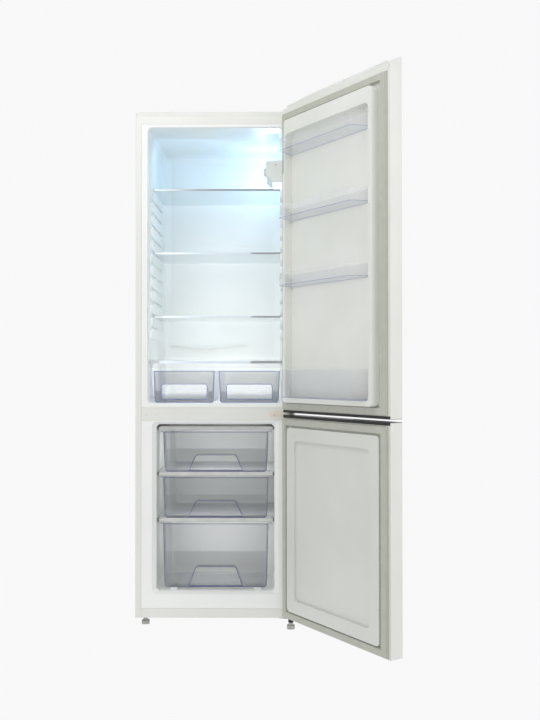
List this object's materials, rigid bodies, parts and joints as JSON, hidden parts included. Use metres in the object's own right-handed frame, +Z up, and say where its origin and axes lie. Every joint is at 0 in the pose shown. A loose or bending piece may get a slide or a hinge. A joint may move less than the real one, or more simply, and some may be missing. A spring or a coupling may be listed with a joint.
{
  "type": "bottom freezer refrigerator",
  "caption": "Free-standing refrigerator over a bottom freezer, with hinged doors, sliding glass shelves, crispers, freezer drawers and lift-out door shelves.",
  "frame": {"origin": "on the floor under the axis of the door hinges, at the centre of the underside of the foot below the lower hinge", "axes": "+X to the cabinet's right seen from the front, +Y to the back, +Z up; both doors are stored open by 124 degrees"},
  "size_m": [0.8547, 1.0088, 1.804],
  "materials": {
    "white_enamel": "satin",
    "white_moulding": "satin",
    "white_liner": "gloss",
    "insulating_foam": "matt",
    "galvanised_sheet": "satin",
    "shelf_glass": "polished",
    "bright_trim": "polished",
    "clear_plastic": "clear",
    "cold_plate": "satin",
    "lamp_cover": "frosted",
    "black_moulding": "matt",
    "grey_seal": "matt",
    "bearing_plastic": "matt",
    "beige_enamel": "satin",
    "dark_enamel": "satin",
    "foot_plastic": "matt",
    "zinc_screw": "satin",
    "mount_rubber": "matt",
    "copper_pipe": "satin"
  },
  "bodies": {
    "cabinet": {"outer_casing": "white_enamel", "top_panel": "white_moulding", "fridge_liner": "white_liner", "freezer_liner": "white_liner", "frame_rails": "white_enamel", "cabinet_foam": "insulating_foam", "back_panel": "galvanised_sheet", "bay_panel": "galvanised_sheet", "compressor_rail": "galvanised_sheet", "freezer_shelves": "cold_plate", "freezer_bars": "white_moulding", "thermostat_housing": "white_moulding", "lamp_lens": "lamp_cover", "hinge_top": "beige_enamel", "hinge_middle": "beige_enamel", "hinge_lower": "dark_enamel", "hinge_foot": "foot_plastic", "levelling_feet": "foot_plastic", "hinge_screws": "zinc_screw", "blanking_plugs": "white_moulding", "compressor": "dark_enamel", "compressor_mounts": "mount_rubber", "terminal_box": "black_moulding", "evaporation_tray": "black_moulding", "condenser": "dark_enamel", "refrigerant_pipes": "copper_pipe", "wall_spacers": "black_moulding"},
    "upper_door": {"upper_door_skin": "white_enamel", "upper_door_top_cap": "white_moulding", "upper_door_grip_cap": "black_moulding", "upper_door_liner": "white_liner", "upper_door_foam": "insulating_foam", "upper_door_gasket": "grey_seal", "upper_door_bushes": "bearing_plastic"},
    "lower_door": {"lower_door_skin": "white_enamel", "lower_door_grip_cap": "black_moulding", "lower_door_foot_cap": "white_moulding", "lower_door_liner": "white_liner", "lower_door_foam": "insulating_foam", "lower_door_gasket": "grey_seal", "lower_door_bushes": "bearing_plastic"},
    "shelf_high": {"glass_shelf_high": "shelf_glass", "glass_shelf_high_trim": "bright_trim"},
    "shelf_middle": {"glass_shelf_middle": "shelf_glass", "glass_shelf_middle_trim": "bright_trim"},
    "shelf_low": {"glass_shelf_low": "shelf_glass", "glass_shelf_low_trim": "bright_trim"},
    "cover": {"crisper_cover": "shelf_glass", "crisper_cover_trim": "bright_trim", "crisper_cover_frame": "clear_plastic"},
    "left_crisper": {"crisper_left": "clear_plastic"},
    "right_crisper": {"crisper_right": "clear_plastic"},
    "high_drawer": {"freezer_drawer_high": "clear_plastic"},
    "middle_drawer": {"freezer_drawer_middle": "clear_plastic"},
    "low_drawer": {"freezer_drawer_low": "clear_plastic"},
    "knob": {"thermostat_knob": "white_moulding"},
    "high_door_shelf": {"door_shelf_high": "clear_plastic"},
    "middle_door_shelf": {"door_shelf_middle": "clear_plastic"},
    "low_door_shelf": {"door_shelf_low": "clear_plastic"},
    "bottle_door_shelf": {"bottle_shelf": "clear_plastic"}
  },
  "joints": [
    {"name": "upper_door_hinge", "type": "hinge", "parent": "cabinet", "child": "upper_door", "pos_m": [0, 0, 0.733], "axis": [0, 0, 1], "range_deg": [-124, 11]},
    {"name": "lower_door_hinge", "type": "hinge", "parent": "cabinet", "child": "lower_door", "pos_m": [0, 0, 0.039], "axis": [0, 0, 1], "range_deg": [-124, 11]},
    {"name": "shelf_high_slide", "type": "slide", "parent": "cabinet", "child": "shelf_high", "axis": [0, -1, 0], "range_m": [0, 0.26]},
    {"name": "shelf_middle_slide", "type": "slide", "parent": "cabinet", "child": "shelf_middle", "axis": [0, -1, 0], "range_m": [0, 0.26]},
    {"name": "shelf_low_slide", "type": "slide", "parent": "cabinet", "child": "shelf_low", "axis": [0, -1, 0], "range_m": [0, 0.26]},
    {"name": "cover_slide", "type": "slide", "parent": "cabinet", "child": "cover", "axis": [0, -1, 0], "range_m": [0, 0.26]},
    {"name": "left_crisper_slide", "type": "slide", "parent": "cabinet", "child": "left_crisper", "axis": [0, -1, 0], "range_m": [0, 0.22]},
    {"name": "right_crisper_slide", "type": "slide", "parent": "cabinet", "child": "right_crisper", "axis": [0, -1, 0], "range_m": [0, 0.22]},
    {"name": "high_drawer_slide", "type": "slide", "parent": "cabinet", "child": "high_drawer", "axis": [0, -1, 0], "range_m": [0, 0.28]},
    {"name": "middle_drawer_slide", "type": "slide", "parent": "cabinet", "child": "middle_drawer", "axis": [0, -1, 0], "range_m": [0, 0.28]},
    {"name": "low_drawer_slide", "type": "slide", "parent": "cabinet", "child": "low_drawer", "axis": [0, -1, 0], "range_m": [0, 0.18]},
    {"name": "temperature_turn", "type": "hinge", "parent": "cabinet", "child": "knob", "pos_m": [-0.0863, 0.203, 1.596], "axis": [-1, 0, 0], "range_deg": [0, 300]},
    {"name": "high_door_shelf_lift", "type": "slide", "parent": "upper_door", "child": "high_door_shelf", "axis": [0, 0, 1], "range_m": [0, 0.022]},
    {"name": "middle_door_shelf_lift", "type": "slide", "parent": "upper_door", "child": "middle_door_shelf", "axis": [0, 0, 1], "range_m": [0, 0.022]},
    {"name": "low_door_shelf_lift", "type": "slide", "parent": "upper_door", "child": "low_door_shelf", "axis": [0, 0, 1], "range_m": [0, 0.022]},
    {"name": "bottle_shelf_lift", "type": "slide", "parent": "upper_door", "child": "bottle_door_shelf", "axis": [0, 0, 1], "range_m": [0, 0.022]}
  ]
}
